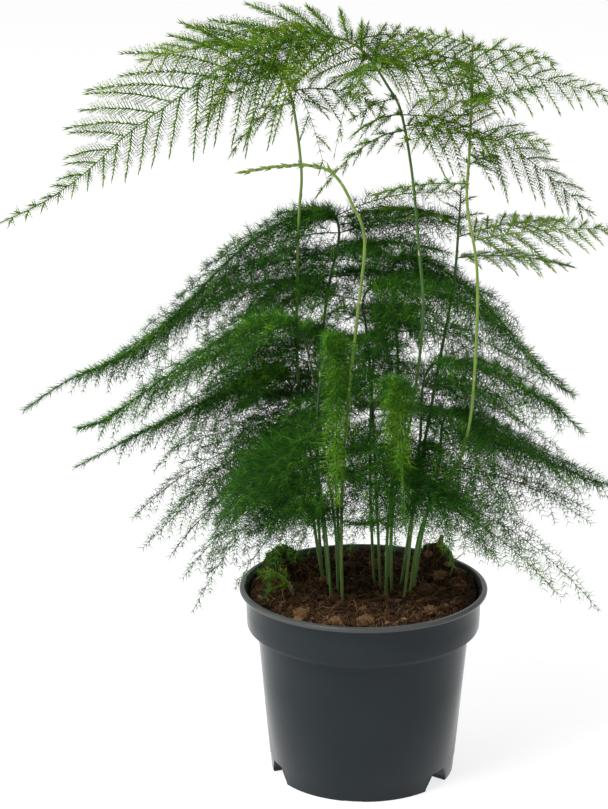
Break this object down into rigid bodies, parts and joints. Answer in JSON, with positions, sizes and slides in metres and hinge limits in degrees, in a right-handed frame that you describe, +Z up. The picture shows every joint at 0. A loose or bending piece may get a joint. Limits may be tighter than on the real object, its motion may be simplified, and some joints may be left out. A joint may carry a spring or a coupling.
{
  "type": "potted lace fern",
  "caption": "Lace fern, an asparagus with flat feathery sprays on thin stems, growing in soil in a round tapered plastic nursery pot.",
  "frame": {"origin": "middle of the pot's flat foot, on the surface that the pot stands on", "axes": "+Z up along the pot's axis; the front of the plant, as pictured, faces -Y; +X to the right"},
  "size_m": [0.2897, 0.1882, 0.38],
  "materials": {
    "pot": "satin dark grey moulded polypropylene",
    "soil": "rough brown peat and coir",
    "leafy_dark": "dark green waxy needles and stems",
    "leafy_mid": "mid green waxy needles and stems",
    "leafy_young": "light yellow-green young needles and stems"
  },
  "bodies": {
    "root": {"pot": "pot", "soil": "soil", "stem_tall_arching": "leafy_mid", "stem_pale_left": "leafy_young", "stem_pale_right": "leafy_young", "stem_dark_right": "leafy_mid", "shoot_bare": "leafy_young", "stem_dense_01": "leafy_dark", "stem_dense_02": "leafy_dark", "stem_dense_03": "leafy_dark", "stem_dense_04": "leafy_dark", "stem_dense_05": "leafy_dark", "stem_dense_06": "leafy_dark", "stem_dense_07": "leafy_dark", "stem_dense_08": "leafy_dark", "stem_dense_09": "leafy_dark", "stem_dense_10": "leafy_dark", "stem_dense_11": "leafy_dark", "shoot_low": "leafy_young"}
  },
  "joints": []
}
